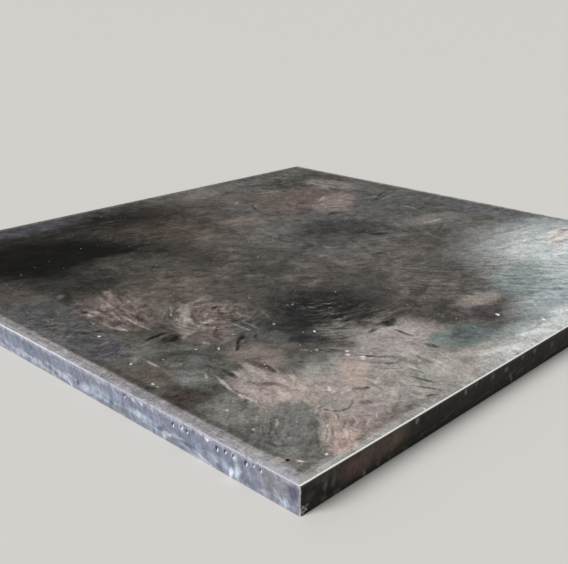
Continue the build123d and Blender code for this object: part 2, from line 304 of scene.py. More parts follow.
    (-530, -93, 16, 2, 45, 0.5, 0.85, "#8b8681"), (-525, -140, 36, 11, 42, 0.5, 0.95, "#877d77"),
    (-562, -198, 42, 12, 62, 0.45, 1.0, "#8f867f"), (-542, -174, 9, 6, 30, 0.6, 1.0, "#99928b"),
    (-596, -236, 22, 8, 20, 0.5, 0.95, "#948a83"), (-525, -213, 30, 6, 8, 0.5, 1.0, "#9a908a"),
    (-533, -248, 8, 3.4, 40, 0.6, 0.9, "#8c827c"), (-465, -98, 46, 8, 8, 0.6, 0.8, "#857971"),
    (-700, -213, 18, 3, 0, 0.7, 0.8, "#76716b"), (-742, -146, 22, 2.2, 18, 0.6, 0.85, "#737177"),
    (-782, -198, 20, 2.2, 0, 0.6, 0.8, "#7b787d"), (-752, -259, 14, 8, 40, 0.8, 0.7, "#86817b"),
    (500, 352, 40, 6, 30, 0.5, 0.95, "#9c8f86"), (436, 290, 30, 6, 60, 0.5, 0.9, "#958981"),
    (592, 330, 34, 4, 15, 0.5, 0.9, "#978b83"), (660, 540, 34, 6, 75, 0.5, 0.9, "#928982"),
    (110, 350, 36, 5, -25, 0.6, 0.85, "#877c74"), (250, 520, 24, 3, 40, 0.5, 0.85, "#8a837b"),
    (420, 560, 44, 3, -20, 0.5, 0.85, "#8b847d"), (620, 60, 40, 5, 80, 0.6, 0.85, "#7c7b76"),
    (540, -90, 46, 6, -12, 0.5, 0.9, "#928c85"), (350, 120, 30, 3, 30, 0.6, 0.8, "#6f6a64"),
    (-665, 158, 15, 8, 50, 0.8, 0.7, "#716f69"), (-806, -740, 14, 22, 30, 0.7, 0.4, "#857670"),
)

# Small sharp marks: a pale blob, white flecks of spatter and a few dark pits.
FLECKS = (
    (-674, 8, 21, 13, 40, 0.5, 0.95, "#8b8881"), (-799, -752, 6.5, 1.8, -66, 0.5, 0.95, "#d8d5cf"),
    (-754, -767, 3, 3, 0, 0.5, 0.9, "#cfcac4"), (-783, -627, 3, 2, 40, 0.5, 0.9, "#bdb8b2"),
    (-768, -547, 4, 2.6, 60, 0.5, 0.95, "#dad6d0"), (-521, -792, 2, 2, 0, 0.5, 0.95, "#eceae6"),
    (-773, -270, 5, 2.4, 45, 0.5, 0.95, "#dcd8d2"), (-715, -299, 2.4, 2.4, 0, 0.5, 0.9, "#c6c2bc"),
    (-638, -309, 3, 2.2, 40, 0.5, 0.9, "#cac6c1"), (-601, -340, 5, 2.2, 45, 0.5, 0.9, "#d3cfcb"),
    (-704, -342, 4, 2.2, 45, 0.5, 0.7, "#8d8a84"), (-796, -372, 4, 3, 45, 0.5, 0.9, "#b4b0ab"),
    (-798, -388, 2, 4, 0, 0.5, 0.9, "#9a9691"), (-428, -327, 5, 2.8, 40, 0.5, 0.8, "#9c9c96"),
    (-397, -420, 4.4, 2.4, 45, 0.5, 0.9, "#d2d2d0"), (-465, -487, 3, 3, 0, 0.5, 0.9, "#cfcfcb"),
    (-314, -275, 4.4, 2.4, 45, 0.5, 0.8, "#b8b8b8"), (-737, -110, 4, 4, 0, 0.5, 0.95, "#dcdadd"),
    (-553, -121, 8, 2.2, 52, 0.5, 0.95, "#c4bfbb"), (-787, -630, 3, 2, 40, 0.5, 0.8, "#3a3735"),
    (-34, -654, 7, 4, 45, 0.5, 0.95, "#e6e4e1"), (14, -740, 7, 4, 45, 0.5, 0.95, "#ebe9e6"),
    (84, -684, 6, 3, 45, 0.5, 0.9, "#dcdad7"), (-712, -303, 4, 2, -45, 0.5, 0.8, "#34322f"),
    (-461, -492, 5, 2, -30, 0.5, 0.8, "#35342f"),
)

# The inside of the punch mark, painted near-black as shade in its hollow, a dent beside it, and
# a ring that a round foot left.
HOLES = (
    (-811, -736, 3.6, 3.4, 0, 0.25, 1.0, "#0b0a09"), (-838, -764, 7, 2, 40, 0.4, 0.7, "#4a4745"),
    (-645, -670, 9, 2.4, -66, 0.6, 0.9, "#5f544c"), (-636, -686, 9, 2.6, -48, 0.6, 0.9, "#5f544c"),
    (-620, -694, 12, 2.6, -12, 0.6, 0.9, "#5f544c"),
    (-602, -691, 11, 2.4, 20, 0.6, 0.85, "#665b53"), (-588, -683, 8, 2, 38, 0.6, 0.7, "#71665e"),
    (-646, -658, 7, 2.2, -8, 0.6, 0.85, "#564b43"),
)

# Stains of the cut faces: distance along the side, height, half sizes, turn, softness, strength
# and colour. The left side is counted from the near side, the near side from the left one.
CUT_STAINS = {
    "left": (
        (58, 28, 34, 22, 0, 0.5, 0.75, "#838386"), (228, 28, 60, 16, 0, 0.6, 0.6, "#7b8092"),
        (790, 33, 90, 12, 0, 0.6, 0.7, "#727a8a"), (465, 33, 22, 10, 0, 0.6, 0.7, "#979db4"),
        (18, 33, 9, 15, 0, 0.5, 0.9, "#585566"), (31, 9, 7, 8, 0, 0.5, 0.85, "#aab6c1"),
        (48, 14, 18, 2.5, 38, 0.5, 0.8, "#9b9fae"), (110, 11, 24, 7, 0, 0.5, 0.85, "#6d7280"),
        (182, 8, 15, 4.5, 0, 0.5, 0.85, "#747a8c"), (188, 18, 22, 7, 6, 0.6, 0.8, "#a3b0b8"),
        # The cyan-white spots at 142 and 156 mm are painted glints, highlights on the cut.
        (142, 18, 8, 12, 0, 0.6, 0.9, "#bac7d0"), (156, 8, 5, 9, -12, 0.5, 0.95, "#cdd4e3"),
        (224, 6, 20, 3, 14, 0.5, 0.9, "#b6b7c6"), (262, 15, 14, 5, 0, 0.5, 0.9, "#5d6175"),
        (305, 16, 30, 3, -6, 0.5, 0.8, "#aab0be"), (306, 10, 18, 4, -8, 0.5, 0.8, "#71757f"),
        (331, 8, 5, 7, 0, 0.5, 0.9, "#b4bdc6"), (344, 15, 8, 4, 0, 0.5, 0.85, "#64687b"),
        (402, 20, 30, 6, 4, 0.7, 0.8, "#a4b1c0"), (455, 8, 34, 8, 0, 0.6, 0.8, "#777f87"),
        (525, 20, 36, 9, 6, 0.7, 0.8, "#9fadb9"), (492, 12, 7, 9, 20, 0.6, 0.8, "#606a70"),
        (575, 14, 18, 7, 0, 0.6, 0.85, "#b8bbc8"), (605, 14, 5, 6, 0, 0.5, 0.9, "#5c5c68"),
        (655, 13, 22, 5, 0, 0.6, 0.85, "#b2b4c0"), (635, 9, 20, 2, 30, 0.5, 0.9, "#cacbd8"),
        (683, 8, 5, 5, 0, 0.5, 0.8, "#686e7a"), (725, 5, 45, 4, 0, 0.5, 0.7, "#98a09e"),
        (760, 11, 22, 6, 0, 0.5, 0.9, "#a9abb9"), (825, 11, 24, 6, 0, 0.5, 0.9, "#a6a8b6"),
        (778, 38, 8, 5, 45, 0.5, 0.8, "#596070"), (530, 41, 6, 5, 0, 0.5, 0.8, "#b4b5c4"),
        (420, 42, 6, 5, 0, 0.5, 0.85, "#b3b4c4"), (398, 45, 7, 3, 20, 0.5, 0.85, "#bdbfce"),
        (368, 46, 5, 4, 0, 0.5, 0.8, "#b6b9c6"), (284, 41, 7, 8, 0, 0.5, 0.8, "#b9bbc8"),
        (230, 50, 5, 3, 0, 0.5, 0.85, "#c9c9d6"), (216, 48, 6, 4, 20, 0.5, 0.9, "#cfcfdb"),
        (148, 40, 8, 7, 0, 0.5, 0.85, "#c4c6d2"),
    ),
    "near": (
        (180, 33, 100, 20, 0, 0.5, 0.9, "#52443c"), (150, 30, 42, 16, 20, 0.6, 0.7, "#5e4b44"),
        (245, 36, 30, 14, 25, 0.5, 0.8, "#5a4f45"), (185, 28, 12, 12, -20, 0.5, 0.7, "#4d443f"),
        (150, 48, 16, 5, 0, 0.5, 0.7, "#463b35"), (62, 45, 34, 8, 0, 0.5, 0.8, "#45403a"),
        (352, 12, 14, 12, 0, 0.6, 0.6, "#2a2530"), (25, 24, 9, 6, 0, 0.5, 0.8, "#3f3c38"),
        (60, 28, 5, 10, -12, 0.5, 0.85, "#57534c"), (80, 27, 4, 9, -14, 0.5, 0.85, "#55524a"),
        (55, 6, 7, 4, 0, 0.5, 0.8, "#4a4943"), (85, 6, 9, 4, 0, 0.5, 0.8, "#4d4a44"),
        (155, 6, 5, 8, -6, 0.5, 0.9, "#5f5d55"), (190, 7, 5, 4, -20, 0.5, 0.85, "#4e4a44"),
        (221, 7, 5, 4, -20, 0.5, 0.85, "#4b4a46"), (266, 5, 6, 4, 0, 0.5, 0.8, "#3c4245"),
        (303, 44, 5, 5, -10, 0.5, 0.9, "#6e6e65"), (334, 39, 6, 5, 0, 0.5, 0.7, "#3b3b34"),
        (457, 42, 4, 8, -4, 0.5, 0.95, "#6f6f66"), (494, 47, 6, 3, 0, 0.5, 0.9, "#62625b"),
        (553, 43, 6, 7, 0, 0.5, 0.9, "#54544b"), (606, 37, 6, 6, 0, 0.5, 0.9, "#62635b"),
        (625, 16, 5, 11, 4, 0.5, 0.9, "#52534e"), (672, 44, 8, 5, 0, 0.5, 0.9, "#54524b"),
        (721, 43, 5, 5, -20, 0.5, 0.9, "#69655c"), (800, 31, 8, 8, 0, 0.5, 0.9, "#4c4b46"),
        (7, 13, 4, 3, 0, 0.4, 0.9, "#9c8f8e"), (12, 8, 3, 3, 0, 0.4, 0.9, "#b3a9a8"),
        (16, 14, 4, 2.5, 0, 0.4, 0.8, "#7d6c68"), (6, 5, 3, 3, 0, 0.4, 0.9, "#a59c9b"),
    ),
    "right": (),
    "far": (),
}

# Finish of each cut face: name, tones of the clouds, upper band, slanting patches, lip and rubbed
# corner, then metallic, gloss and roughness.
CUT_FINISHES = {
    # The near cut's dark tones are soot and painted shade, as that face is turned from the light;
    # the left cut's pale blue-grey is partly a painted reflection of bright light from the left.
    "near": ("sooty_flame_cut", "#1e1c19", "#3a3731", "#403d36", "#201e1a", "#b9b3b0", 0.0, 0.15,
             0.55),
    "right": ("dull_flame_cut", "#4a4947", "#7d8086", "#8b8e95", "#57564f", "#a9a9ab", 0.3, 0.3,
              0.5),
    "far": ("rusty_flame_cut", "#4d3f36", "#706c69", "#7c7976", "#4d4942", "#98969a", 0.2, 0.3,
            0.55),
    "left": ("bright_flame_cut", "#73788a", "#b0afbb", "#b4becb", "#858a94", "#d9d5da", 0.3, 0.4,
             0.45),
}

# Mix settings that lay one colour (input 6) under another (input 7) where the mask says, or
# multiply or lighten by the second, and a range that starts and ends gently.
LAID = {"data_type": "RGBA", "out": 2}
TIMES = {"blend_type": "MULTIPLY", **LAID}
LIGHTER = {"blend_type": "LIGHTEN", **LAID}
GENTLE = {"interpolation_type": "SMOOTHSTEP"}


def linear(code):
    """Turn an sRGB hex colour into linear red, green, blue and alpha."""
    def channel(value):
        return value / 12.92 if value <= 0.04045 else ((value + 0.055) / 1.055) ** 2.4
    parts = [int(code[i:i + 2], 16) / 255 for i in (1, 3, 5)]
    return tuple(channel(part) for part in parts) + (1.0,)


def grey(level):
    """A linear grey, which darkens or lightens what it multiplies."""
    return (level, level, level, 1.0)


def length_prop(name, description, default):
    """A length in metres, shown in the file's own unit."""
    return bpy.props.FloatProperty(
        name=name, description=description, default=default, unit="LENGTH", precision=5
    )


def colour_prop(name, description, code):
    """A colour whose default is an sRGB hex value."""
    return bpy.props.FloatVectorProperty(
        name=name, description=description, default=linear(code), size=4, subtype="COLOR",
        min=0.0, max=1.0,
    )


class PlateShape(bpy.types.PropertyGroup):
    """Sizes of the plate and of the relief in its flame-cut sides"""

    length: length_prop("Length", "Size along X", node_high.x - node_low.x)
    width: length_prop("Width", "Size along Y", node_high.y - node_low.y)
    thickness: length_prop("Thickness", "Size along Z", node_high.z - node_low.z)
    corner_radius: length_prop("Corner radius", "Wear of the upright corners", 4.0 * MM)
    shoulder_width: length_prop("Shoulder width", "Sloping band of the top", 28.0 * MM)
    shoulder_drop: length_prop("Shoulder drop", "Fall of the top across the band", 1.2 * MM)
    arris_radius: length_prop("Arris radius", "Melted upper edge", 2.2 * MM)
    set_back: length_prop("Set-back", "How far the cut leans in at the top", 1.0 * MM)
    hollow: length_prop("Hollow", "Dish of the cut face", 0.6 * MM)
    lip_height: length_prop("Lip height", "Mean height of the proud band", 11.0 * MM)
    lip_proud: length_prop("Lip proud", "How far that band stands out", 0.8 * MM)
    lower_radius: length_prop("Lower arris", "Rounding of the lower edge", 1.0 * MM)
    drag_lag: length_prop("Drag lag", "How far a drag line trails at the bottom", 14.0 * MM)
    flute_pitch: length_prop("Flute pitch", "Spacing of the coarse drag flutes", 13.0 * MM)
    flute_depth: length_prop("Flute depth", "Depth of the coarse drag flutes", 0.14 * MM)
    wave_depth: length_prop("Wave depth", "Slow unevenness of the cut faces", 0.25 * MM)
    top_wave: length_prop("Top wave", "Slow unevenness of the top", 0.16 * MM)
    seed: bpy.props.IntProperty(name="Seed", description="Scatter of the lip's falls", default=11)


class PlateFinish(bpy.types.PropertyGroup):
    """Main colours of the plate"""

    scale_mid: colour_prop("Mill scale", "Main tone of the top", "#625b54")
    scale_dark: colour_prop("Dark scale", "Darker clouds of the top", "#4a4641")
    # The left cut's blue-grey is partly a painted reflection of light from the left, and the near
    # cut's darkness is soot and painted shade.
    left_cut: colour_prop("Left cut", "Clean flame-cut face", "#8a8fa0")
    near_cut: colour_prop("Near cut", "Sooty flame-cut face", "#282622")
    right_cut: colour_prop("Right cut", "Dull flame-cut face", "#5d5f64")
    far_cut: colour_prop("Far cut", "Rusty flame-cut face", "#55514c")
    arris: colour_prop("Arris", "Burnished upper arris", "#f4f2ee")


class StageLook(bpy.types.PropertyGroup):
    """Camera, floor and light"""

    camera_x: length_prop("Camera X", "Place of the camera", -1.6382)
    camera_y: length_prop("Camera Y", "Place of the camera", -1.5245)
    camera_z: length_prop("Camera Z", "Height of the camera above the floor", 0.7612)
    heading: bpy.props.FloatProperty(
        name="Heading", description="Turn of the view from +X towards +Y",
        default=math.radians(43.945), subtype="ANGLE",
    )
    tilt: bpy.props.FloatProperty(
        name="Tilt", description="How far the view looks down",
        default=math.radians(19.661), subtype="ANGLE",
    )
    roll: bpy.props.FloatProperty(
        name="Roll", description="Roll of the camera", default=math.radians(0.113),
        subtype="ANGLE",
    )
    focal_pixels: bpy.props.FloatProperty(
        name="Focal length in pixels", description="Focal length over the pixel size",
        default=833.64,
    )
    floor_colour: colour_prop("Floor", "Plain pale floor", "#d3d0ca")
    floor_size: length_prop("Floor size", "Side of the square floor", 400.0)
    sky: bpy.props.FloatProperty(
        name="Surround", description="Strength of the even light from all round", default=0.42
    )
    key: bpy.props.FloatProperty(
        name="Key light", description="Strength of the wide soft light from the left",
        default=3.2,
    )
    key_spread: bpy.props.FloatProperty(
        name="Key spread", description="How wide the light looks, which softens its shadows",
        default=math.radians(32.0), subtype="ANGLE",
    )


def add(tree, kind, *inputs, out=0, named=None, **settings):
    """Add one node with its settings, fill or link its inputs, and give one of its outputs."""
    node = tree.nodes.new("ShaderNode" + kind)
    for name, value in settings.items():
        setattr(node, name, value)
    for key, value in [*enumerate(inputs), *(named or {}).items()]:
        if isinstance(value, bpy.types.NodeSocket):
            tree.links.new(value, node.inputs[key])
        elif value is not None:
            node.inputs[key].default_value = value
    return node.outputs[out] if node.outputs else None


def new_material(name):
    """Make an empty node material and give it with its tree."""
    material = bpy.data.materials.new(name)
    material.use_nodes = True
    material.node_tree.nodes.clear()
    return material, material.node_tree


def new_object(scene, name, bm, finishes):
    """Turn a bmesh into an object of the scene with its finishes."""
    mesh = bpy.data.meshes.new(name)
    bm.to_mesh(mesh)
    bm.free()
    for material in finishes:
        mesh.materials.append(material)
    made = bpy.data.objects.new(name, mesh)
    scene.collection.objects.link(made)
    return made


# ---- Shape of the plate


def smooth(low, high, value):
    """Rise smoothly from 0 at low to 1 at high."""
    part = min(1.0, max(0.0, (value - low) / (high - low)))
    return part * part * (3 - 2 * part)


def drift(x, y, place):
    """Slow random height from -1 to 1; place picks one of many patterns."""
    return noise.noise(Vector((x, y, 7.3 * place)))


def side_length(shape, side):
    """Length of a side, in metres."""
    return shape.length if SIDES[side][1].x else shape.width


def lip_edges(shape):
    """Give each side the height of its lip's upper edge at points along it, in millimetres."""
    scatter = random.Random(shape.seed)
    height = shape.lip_height / MM
    edges = {}
    for name in SIDES:
        length = side_length(shape, name) / MM
        points = list(LEFT_LIP) if name == "left" else [(0, 9)]
        swing = 1.2 if name == "near" else 4.5
        while points[-1][0] < length:
            rise_end = points[-1][0] + scatter.uniform(70, 118)
            points.append((rise_end, height + scatter.uniform(0.2, 1.0) * swing))
            fall = scatter.uniform(12, 28)
            points.append((rise_end + fall, height - scatter.uniform(0.4, 1.5) * swing))
        edges[name] = points
    return edges


def height_on(points, place):
    """Read a broken line of (place, height) at one place."""
    before = points[0]
    for point in points:
        if point[0] >= place:
            if point[0] == before[0]:
                return point[1]
            part = (place - before[0]) / (point[0] - before[0])
            return before[1] + (point[1] - before[1]) * part
        before = point
    return before[1]


def profile(shape):
    """List the rings of the edge as (inset, height, zone), from the shoulder to the underside."""
    top = shape.thickness / MM
    radius = shape.arris_radius / MM
    drop = shape.shoulder_drop / MM
    width = shape.shoulder_width / MM
    set_back = shape.set_back / MM
    lower = shape.lower_radius / MM
    arris_end = set_back + radius
    rings = []
    for inset in (*SHOULDER_INSETS, arris_end):
        part = (width - inset) / (width - arris_end)
        rings.append((inset, top - drop * part**2, "top"))
    face_top = top - drop - radius
    for step in range(1, ARRIS_STEPS + 1):
        angle = step * math.pi / 2 / ARRIS_STEPS
        rings.append((arris_end - radius * math.sin(angle),
                      face_top + radius * math.cos(angle), "arris"))
    for height in FACE_HEIGHTS:
        part = (face_top - height) / face_top
        inset = set_back + 4 * (shape.hollow / MM) * part * (1 - part)
        rings.append((inset, height, "face"))
    rings += [(0.0, lower, "face"), (lower * 0.3, lower * 0.3, "face")]
    rings += [(inset, 0.0, "under") for inset in (lower, *UNDERSIDE_INSETS)]
    return rings


def spot(place, height, centre, rise, half_long, half_wide, lean):
    """Give how deep a point lies in a leaning oval, from 1 in the middle to 0 outside."""
    across, up = place - centre, height - rise
    along_oval = up * math.cos(lean) + across * math.sin(lean)
    across_oval = across * math.cos(lean) - up * math.sin(lean)
    return max(0.0, 1 - (along_oval / half_long) ** 2 - (across_oval / half_wide) ** 2)


class CutRelief:
    """Relief of the four flame-cut sides, in millimetres"""

    def __init__(self, shape):
        self.shape = shape
        self.lips = lip_edges(shape)
        self.order = {name: index for index, name in enumerate(SIDES)}

    def above_lip(self, side, place, height):
        """Height of a point above the ragged edge of the lip."""
        ragged = 0.9 * drift(place / 9, 0, self.order[side])
        return height - height_on(self.lips[side], place) - ragged

    def gouge(self, side, place, height):
        """Depth of the gouge at a point, and of the burr on its lower side, from 0 to 1."""
        if side != "left":
            return 0.0, 0.0
        pit = burr = 0.0
        for centre, depth, size in GOUGES:
            rise = self.shape.thickness / MM - depth
            bite = spot(place, height, centre, rise, 5.6 * size, 2.9 * size, GOUGE_LEAN)
            crest = spot(place, height, centre - 3.0 * size, rise - 2.2, 4.48 * size, 1.8,
                         GOUGE_LEAN)
            pit, burr = max(pit, size * bite), max(burr, size * crest)
        return pit, burr * (1 - min(1.0, 2 * pit))

    def bead(self, side, place, height):
        """Height of the slag beads at a point."""
        lump = 0.0
        for bead_side, centre, rise, radius in BEADS:
            if bead_side == side:
                inside = radius**2 - (place - centre) ** 2 - (height - rise) ** 2
                if inside > 0:
                    lump = max(lump, math.sqrt(inside) * 0.6)
        return lump

    def inset(self, side, place, height, length):
        """How far the relief takes a point of the cut face inwards."""
        shape = self.shape
        index = self.order[side]
        over = self.above_lip(side, place, height)
        fallen = 1 - height / (shape.thickness / MM)
        wave = (shape.wave_depth / MM) * (0.6 + drift(place / 150, height / 60, 10 + index))
        wave += 0.10 * drift(place / 38, height / 22, 20 + index)
        trail = (shape.drag_lag / MM) * fallen**2
        flute = drift((place + trail) / (shape.flute_pitch / MM), height / 90, 30 + index)
        flute *= (shape.flute_depth / MM) * smooth(0, 12, 52 - height)
        lip = smooth(-2.2, 3.2, over) * (shape.lip_proud / MM)
        lip -= 0.15 * smooth(2.4, 0, abs(over - 1.0)) * (0.5 + drift(place / 17, 3, index))
        pit, burr = self.gouge(side, place, height)
        inward = wave + flute + 1.6 * pit - 0.5 * burr - self.bead(side, place, height)
        ends = smooth(0, 7, place) * smooth(0, 7, length - place)
        base = lip * (0.4 + 0.6 * ends)
        return base + inward * ends - (shape.set_back / MM) * smooth(6, -2, over) * 0.9


def top_height(shape, x, y):
    """Height of the rolled top at a point, a little below the full thickness."""
    wave = 0.5 + 0.5 * drift(x / 290, y / 290, 40)
    wave += 0.25 + 0.25 * drift(x / 95, y / 95, 41)
    return shape.thickness / MM - (shape.top_wave / MM) * wave


def ring_point(shape, column, inset, height):
    """Place one point of a ring from its column, inset and height, in millimetres."""
    half_x, half_y = shape.length / MM / 2, shape.width / MM / 2
    radius = max(shape.corner_radius / MM - inset, LEAST_CORNER)
    kind, value = column
    if kind == "corner":
        sign, angle = value
        x = sign.x * (half_x - inset - radius + radius * math.cos(angle))
        y = sign.y * (half_y - inset - radius + radius * math.sin(angle))
        return Vector((x, y, height))
    outward, along = SIDES[kind]
    reach = (half_x if along.x else half_y) - inset - radius
    out = (half_y if along.x else half_x) - inset
    flat = outward * out + along * (value * reach)
    return Vector((flat.x, flat.y, height))


def column_of(point, reach_x, reach_y):
    """Say which side or corner a point of the first ring belongs to, and where along it."""
    over_x, over_y = abs(point.x) - reach_x, abs(point.y) - reach_y
    if over_x > 1e-4 and over_y > 1e-4:
        sign = Vector((math.copysign(1, point.x), math.copysign(1, point.y)))
        return "corner", (sign, math.atan2(over_y, over_x))
    if over_x > over_y:
        return ("right" if point.x > 0 else "left"), point.y / reach_y
    return ("far" if point.y > 0 else "near"), point.x / reach_x


def side_of(column):
    """Name the side that a column is finished like."""
    kind, value = column
    if kind != "corner":
        return kind
    sign, angle = value
    if angle > math.pi / 4:
        return "far" if sign.y > 0 else "near"
    return "right" if sign.x > 0 else "left"


def punch(bm, shape):
    """Sink the round punch mark, with a low rim, into the cell of the top that holds it."""
    top = shape.thickness / MM
    centre = Vector((
        PUNCH_FROM_LEFT - shape.length / MM / 2, PUNCH_FROM_NEAR - shape.width / MM / 2,
    ))
    cell = min(
        (face for face in bm.faces if face.normal.z > 0.9),
        key=lambda face: (face.calc_center_median().xy - centre).length,
    )
    bmesh.ops.subdivide_edges(bm, edges=cell.edges[:], cuts=23, use_grid_fill=True)
    for vert in bm.verts:
        away = (vert.co.xy - centre).length
        if away < 2.6 * PUNCH_RADIUS:
            sink = PUNCH_DEPTH * max(0.0, 1 - (away / PUNCH_RADIUS) ** 2)
            rim = 0.15 * smooth(0.8 * PUNCH_RADIUS, PUNCH_RADIUS, away)
            rim *= smooth(2.4 * PUNCH_RADIUS, 1.2 * PUNCH_RADIUS, away)
            vert.co.z += min(rim, top - vert.co.z) - sink


def top_grid(bm, shape):
    """Draw the rolled top as a grid and give its border, with the column of each point there."""
    half_x, half_y = shape.length / MM / 2, shape.width / MM / 2
    inner_x, inner_y = half_x - shape.shoulder_width / MM, half_y - shape.shoulder_width / MM
    bmesh.ops.create_grid(bm, x_segments=GRID_CELLS[0], y_segments=GRID_CELLS[1], size=1.0)
    bmesh.ops.scale(bm, vec=(inner_x, inner_y, 1), verts=bm.verts)
    corners = [vert for vert in bm.verts if len(vert.link_edges) == 2]
    bmesh.ops.bevel(
        bm, geom=corners, offset=LEAST_CORNER, segments=6, profile=0.5, affect="VERTICES",
        material=-1,
    )
    dense, plain = [], []
    for edge in bm.edges:
        if edge.is_boundary and edge.calc_length() > 5:
            middle = (edge.verts[0].co + edge.verts[1].co) / 2
            on_left = middle.x < -inner_x + 1 and middle.y < -half_y + DENSE_LEFT
            on_near = middle.y < -inner_y + 1 and middle.x < -half_x + DENSE_NEAR
            (dense if on_left or on_near else plain).append(edge)
    # Ten points to a cell there, and four elsewhere.
    bmesh.ops.subdivide_edges(bm, edges=dense, cuts=9)
    bmesh.ops.subdivide_edges(bm, edges=plain, cuts=3)
    for vert in bm.verts:
        vert.co.z = top_height(shape, vert.co.x, vert.co.y)
    border = [edge for edge in bm.edges if edge.is_boundary]
    columns = {
        vert: column_of(vert.co, inner_x - LEAST_CORNER, inner_y - LEAST_CORNER)
        for edge in border for vert in edge.verts
    }
    return border, columns


def edge_point(shape, relief, column, inset, height, zone):
    """Place one point of a ring, and give its height above the lip, gouge and burr."""
    side = side_of(column)
    extra, lower = 0.0, 0.0
    above, pit, burr = FAR_ABOVE_LIP, 0.0, 0.0
    if zone == "top":
        flat = ring_point(shape, column, inset, height)
        lower = shape.thickness / MM - top_height(shape, flat.x, flat.y)
    elif zone == "arris":
        flat = ring_point(shape, column, inset, height)
        extra = 0.12 + 0.22 * drift(flat.x / 24, flat.y / 24, 51)
    elif zone == "face" and column[0] == "corner":
        wear = 0.25 + 0.35 * drift(height / 9, column[1][1], 50)
        extra = wear * smooth(0, 8, height)
        above = height - 9
    elif zone == "face":
        length = side_length(shape, side) / MM
        place = (column[1] + 1) / 2 * length
        extra = relief.inset(side, place, height, length)
        pit, burr = relief.gouge(side, place, height)
        above = relief.above_lip(side, place, height)
    if zone == "face" and height <= 1.0:
        extra = max(extra, 0.0) * 0.4
    point = ring_point(shape, column, max(0.0, inset + extra), height - lower)
    return point, (above, pit, burr)


def plate_mesh(shape):
    """Draw the rolled top as a grid, run its border down the cut edge and close the underside."""
    bm = bmesh.new()
    layers = [bm.verts.layers.float.new(name) for name in ("above_lip", "gouged", "burred")]
    slots = {name: slot for slot, name in enumerate(("top", "arris", *SIDES, "under"))}
    relief = CutRelief(shape)
    border, columns = top_grid(bm, shape)
    for inset, height, zone in profile(shape):
        made = bmesh.ops.extrude_edge_only(bm, edges=border)["geom"]
        border = [item for item in made if isinstance(item, bmesh.types.BMEdge)
                  and item.is_boundary]
        fresh = {}
        for vert in (item for item in made if isinstance(item, bmesh.types.BMVert)):
            parents = (edge.other_vert(vert) for edge in vert.link_edges)
            column = next(columns[parent] for parent in parents if parent in columns)
            vert.co, values = edge_point(shape, relief, column, inset, height, zone)
            for layer, value in zip(layers, values):
                vert[layer] = value
            fresh[vert] = column
        for face in (item for item in made if isinstance(item, bmesh.types.BMFace)):
            found = [fresh[vert] for vert in face.verts if vert in fresh]
            straight = [column for column in found if column[0] != "corner"]
            side = side_of(straight[-1] if straight else found[0])
            face.material_index = slots[side if zone == "face" else zone]
        columns = fresh
    for face in bmesh.ops.contextual_create(bm, geom=border)["faces"]:
        face.material_index = slots["under"]

    bm.normal_update()
    punch(bm, shape)
    # Cells of the top with extra points on a side are split from their middles.
    cells = [face for face in bm.faces
             if face.material_index == slots["top"] and len(face.verts) > 4]
    bmesh.ops.poke(bm, faces=cells)
    bmesh.ops.recalc_face_normals(bm, faces=bm.faces)
    bmesh.ops.scale(bm, vec=(MM, MM, MM), verts=bm.verts)
    for face in bm.faces:
        face.smooth = True
    return bm


# ---- Finishes


def stain(tree, point, x, y, half_long, half_wide, turn=0.0, soft=0.35, strength=1.0):
    """Mask one oval stain; its middle and half sizes are in millimetres, its turn in degrees."""
    reach = (1.0 + soft) * MM
    inwards = add(tree, "TexGradient", point, out=1, gradient_type="SPHERICAL")
    local = inwards.node.texture_mapping
    local.vector_type = "TEXTURE"
    local.translation = (x * MM, y * MM, 0.0)
    local.rotation = (0.0, 0.0, math.radians(turn))
    local.scale = (half_long * reach, half_wide * reach, 9.0)
    # The gradient never leaves the range, so nothing is clamped. It makes deep stacks of stains
    # possible, because a clamped range is two nodes to the renderer.
    return add(tree, "MapRange", inwards, 0.0, 2 * soft / (1.0 + soft), 0.0, strength,
               clamp=False, **GENTLE)


def stained(tree, point, colour, stains):
    """Lay a list of stains over a colour, one after another."""
    for *oval, tone in stains:
        mask = stain(tree, point, *oval)
        colour = add(tree, "Mix", mask, named={6: colour, 7: linear(tone)}, **LAID)
    return colour


def warped(tree, point, scale, reach, detail=3.0):
    """Shift a point by up to a reach in metres, so that what is drawn there gets ragged."""
    field = add(tree, "TexNoise", point, out=1,
                named={"Scale": scale, "Detail": detail, "Roughness": 0.6})
    centred = add(tree, "VectorMath", field, (0.5, 0.5, 0.5), operation="SUBTRACT")
    shift = add(tree, "VectorMath", centred, named={"Scale": reach * 2}, operation="SCALE")
    return add(tree, "VectorMath", point, shift, operation="ADD")


def wiped(tree, point, middle, area, spacing, sweep):
    """Draw streaks that run round a middle, a spacing apart and a sweep long, in millimetres."""
    away = Vector(area) - Vector(middle)
    local = add(
        tree, "Mapping", point, (middle[0] * MM, middle[1] * MM, 0.0),
        (0.0, 0.0, math.atan2(away.y, away.x)), (1.0, 1.0, 1.0), vector_type="TEXTURE",
    )
    split = add(tree, "SeparateXYZ", local).node.outputs
    flat = add(tree, "CombineXYZ", split[0], split[1])
    radius = add(tree, "VectorMath", flat, operation="LENGTH", out=1)
    angle = add(tree, "Math", split[1], split[0], operation="ARCTAN2")
    round_middle = add(tree, "CombineXYZ", radius, angle)
    stretched = add(
        tree, "VectorMath", round_middle,
        (1 / (spacing * MM), max(away.length, 60.0) / sweep, 1.0), operation="MULTIPLY",
    )
    return add(
        tree, "TexNoise", stretched, named={"Scale": 1.0, "Detail": 4.0, "Roughness": 0.65},
        noise_dimensions="2D",
    )


